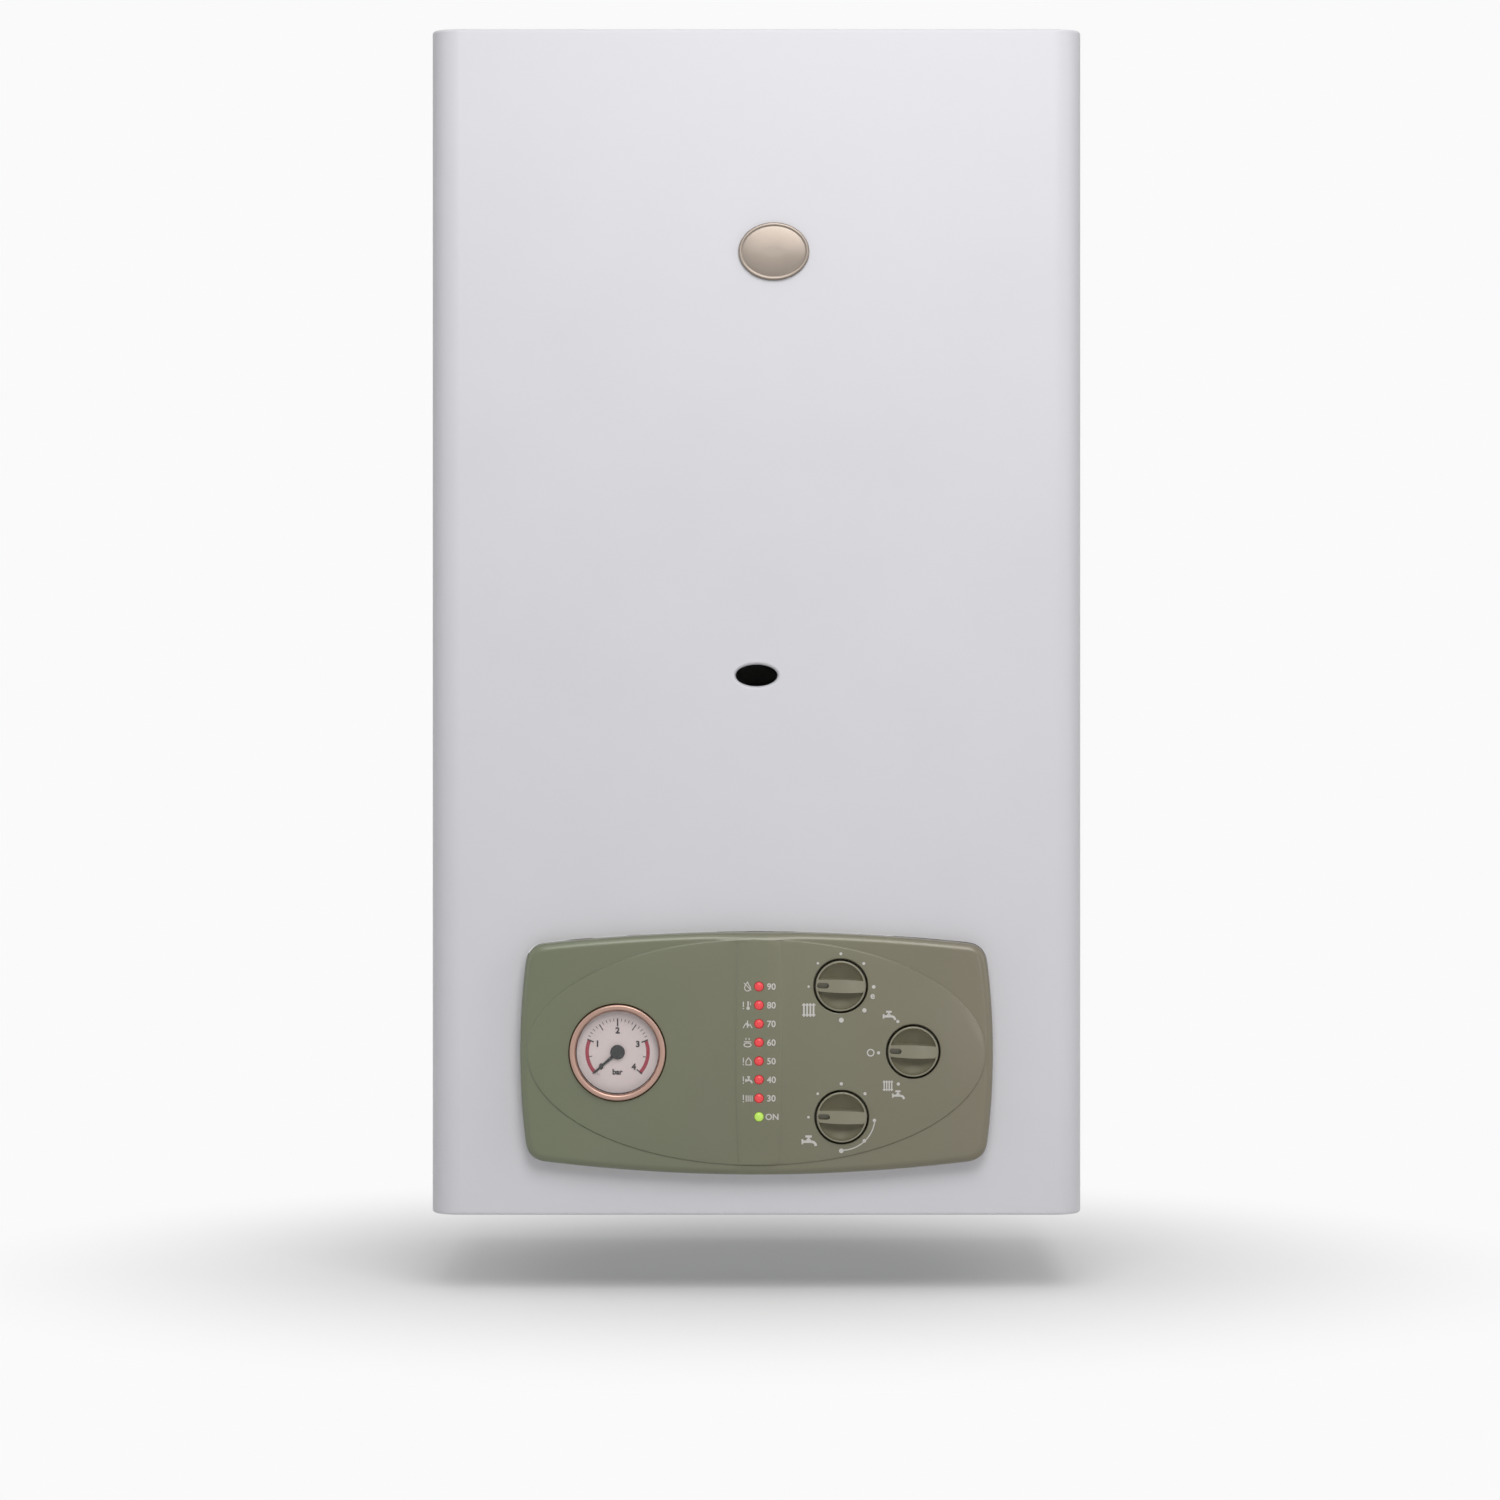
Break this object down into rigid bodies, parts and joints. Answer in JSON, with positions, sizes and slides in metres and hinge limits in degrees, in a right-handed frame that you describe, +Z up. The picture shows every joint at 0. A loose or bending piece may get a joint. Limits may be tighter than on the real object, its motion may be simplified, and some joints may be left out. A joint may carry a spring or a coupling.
{
  "type": "combi boiler",
  "caption": "Wall-hung combi boiler: lift-off white casing, tilting olive control panel with knobs and pressure gauge, sealed chamber, fan and hydraulic group.",
  "frame": {"origin": "centre of the hanging rail's back face, where it lies on the wall; 780 mm above the casing's bottom edge", "axes": "+X to the right seen from the front, +Y into the wall, +Z up"},
  "size_m": [0.45, 0.3651, 0.82],
  "materials": {
    "zinc_steel": "galvanised",
    "gauge_glass": "clear",
    "aluminised_steel": "aluminised",
    "ceramic_fibre": "fibrous",
    "stainless": "pressed",
    "ceramic": "glazed",
    "copper": "drawn copper",
    "cast_iron": "painted casting",
    "grey_plastic": "moulded",
    "rubber_black": "matt",
    "cast_aluminium": "cast",
    "vessel_red": "gloss enamel",
    "brass": "forged",
    "casing_paint": "satin lacquer",
    "badge_pewter": "satin",
    "fascia_plastic": "fine grain",
    "box_plastic": "matt",
    "board": "solder resist",
    "lamp_red": "clear moulded",
    "lamp_green": "clear moulded",
    "black_plastic": "gloss",
    "dial_print": "matt print",
    "bezel_copper": "polished",
    "knob_plastic": "satin",
    "cap_red": "moulded",
    "cap_blue": "moulded"
  },
  "bodies": {
    "frame": {"frame_left_rail": "zinc_steel", "frame_right_rail": "zinc_steel", "frame_top_rail": "zinc_steel", "frame_mid_rail": "zinc_steel", "frame_base_plate": "zinc_steel", "panel_bracket_left": "zinc_steel", "panel_bracket_right": "zinc_steel", "chamber_wrap": "zinc_steel", "chamber_top_plate": "zinc_steel", "chamber_bottom_plate": "zinc_steel", "chamber_cover": "zinc_steel", "sight_glass": "gauge_glass", "combustion_box": "aluminised_steel", "gas_manifold": "aluminised_steel", "flue_hood": "aluminised_steel", "fan_scroll": "aluminised_steel", "burner_gas_pipe": "aluminised_steel", "combustion_insulation": "ceramic_fibre", "burner": "stainless", "plate_heat_exchanger": "stainless", "ignition_electrode": "ceramic", "main_heat_exchanger": "copper", "flow_pipe": "copper", "return_pipe": "copper", "vessel_pipe": "copper", "fan_motor": "cast_iron", "pump_volute": "cast_iron", "pump_motor": "cast_iron", "air_pressure_switch": "grey_plastic", "diverter_actuator": "grey_plastic", "flue_gasket": "rubber_black", "flue_collar": "cast_aluminium", "gas_valve": "cast_aluminium", "expansion_vessel": "vessel_red", "air_vent": "brass", "hydraulic_block_left": "brass", "hydraulic_block_right": "brass", "safety_valve": "brass", "filling_tap": "brass", "gas_inlet_pipe": "brass"},
    "casing": {"casing_shell": "casing_paint", "casing_badge": "badge_pewter"},
    "control_panel": {"panel_fascia": "fascia_plastic", "control_box": "box_plastic", "circuit_board": "board", "led_strip": "lamp_red", "led_power": "lamp_green", "gauge_case": "black_plastic", "gauge_dial": "dial_print", "gauge_lens": "gauge_glass", "gauge_bezel": "bezel_copper"},
    "gauge_needle": {"gauge_needle": "black_plastic"},
    "knob_heating": {"knob_heating": "knob_plastic"},
    "knob_mode": {"knob_mode": "knob_plastic"},
    "knob_hot_water": {"knob_hot_water": "knob_plastic"},
    "fan_impeller": {"fan_impeller": "aluminised_steel"},
    "pump_speed_knob": {"pump_speed_knob": "cap_red"},
    "safety_valve_cap": {"safety_valve_cap": "cap_red"},
    "filling_tap_knob": {"filling_tap_knob": "cap_blue"}
  },
  "joints": [
    {"name": "casing_slide", "type": "slide", "parent": "frame", "child": "casing", "axis": [0, -1, 0], "range_m": [0, 0.42]},
    {"name": "panel_tilt", "type": "hinge", "parent": "frame", "child": "control_panel", "pos_m": [0, -0.352, -0.734], "axis": [1, 0, 0], "range_deg": [0, 50]},
    {"name": "heating_turn", "type": "hinge", "parent": "control_panel", "child": "knob_heating", "pos_m": [0.0579, -0.36, -0.6205], "axis": [0, 1, 0], "range_deg": [0, 270]},
    {"name": "mode_turn", "type": "hinge", "parent": "control_panel", "child": "knob_mode", "pos_m": [0.1078, -0.36, -0.6656], "axis": [0, 1, 0], "range_deg": [-60, 60]},
    {"name": "hot_water_turn", "type": "hinge", "parent": "control_panel", "child": "knob_hot_water", "pos_m": [0.0586, -0.36, -0.7107], "axis": [0, 1, 0], "range_deg": [0, 270]},
    {"name": "needle_turn", "type": "hinge", "parent": "control_panel", "child": "gauge_needle", "pos_m": [-0.0957, -0.358, -0.6663], "axis": [0, 1, 0], "range_deg": [0, 263], "stiffness_Nm_per_rad": 0.001, "springref_deg": -17.19},
    {"name": "fan_spin", "type": "hinge", "parent": "frame", "child": "fan_impeller", "pos_m": [-0.037, -0.19, -0.125], "axis": [0, 1, 0], "continuous": true},
    {"name": "pump_speed_turn", "type": "hinge", "parent": "frame", "child": "pump_speed_knob", "pos_m": [0.13, -0.215, -0.63], "axis": [0, 1, 0], "range_deg": [-60, 60]},
    {"name": "safety_cap_turn", "type": "hinge", "parent": "frame", "child": "safety_valve_cap", "pos_m": [0.088, -0.16, -0.695], "axis": [0, 1, 0], "range_deg": [0, 90]},
    {"name": "filling_turn", "type": "hinge", "parent": "frame", "child": "filling_tap_knob", "pos_m": [0.0975, -0.105, -0.755], "axis": [0, 0, -1], "range_deg": [0, 360]}
  ]
}
